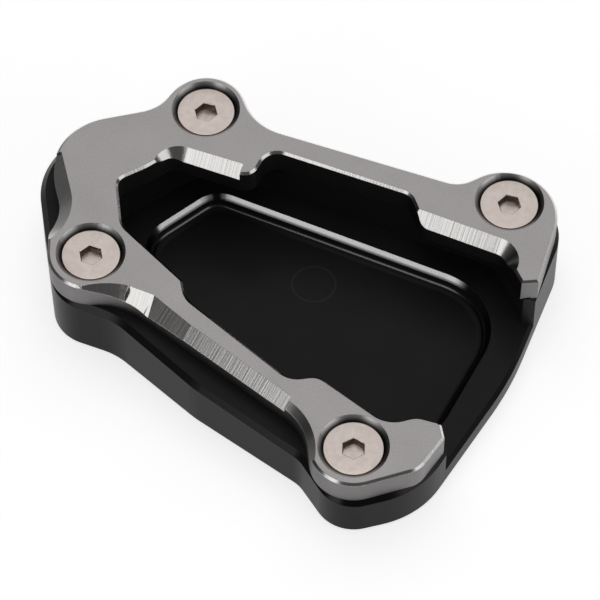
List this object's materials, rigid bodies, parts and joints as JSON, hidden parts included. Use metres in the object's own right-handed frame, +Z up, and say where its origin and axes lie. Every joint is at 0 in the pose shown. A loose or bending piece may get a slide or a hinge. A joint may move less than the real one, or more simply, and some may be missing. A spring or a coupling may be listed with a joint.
{
  "type": "kickstand foot enlarger",
  "caption": "Wide metal sole for a motorbike side stand: a base with a stepped pocket open at one side, under a bevelled clamp plate whose hooked jaws lap over the stand's foot",
  "frame": {"origin": "centre of the bounding box, on the ground face of the sole at z = 0", "axes": "+X along the part, from the pocket's closed left end out through its open mouth; +Y to the back, where the long straight jaw is; +Z up from the ground, through the clamp plate"},
  "size_m": [0.1024, 0.0802, 0.023],
  "materials": {
    "black_anodised": "satin black anodised, milled",
    "grey_anodised": "satin silver grey anodised with bright milled bevels",
    "screw_steel": "bright stainless steel with a warm tone"
  },
  "bodies": {
    "root": {"base_plate": "black_anodised", "clamp_plate": "grey_anodised", "screw_back_left": "screw_steel", "screw_back_right": "screw_steel", "screw_front_left": "screw_steel", "screw_front_right": "screw_steel"}
  },
  "joints": []
}
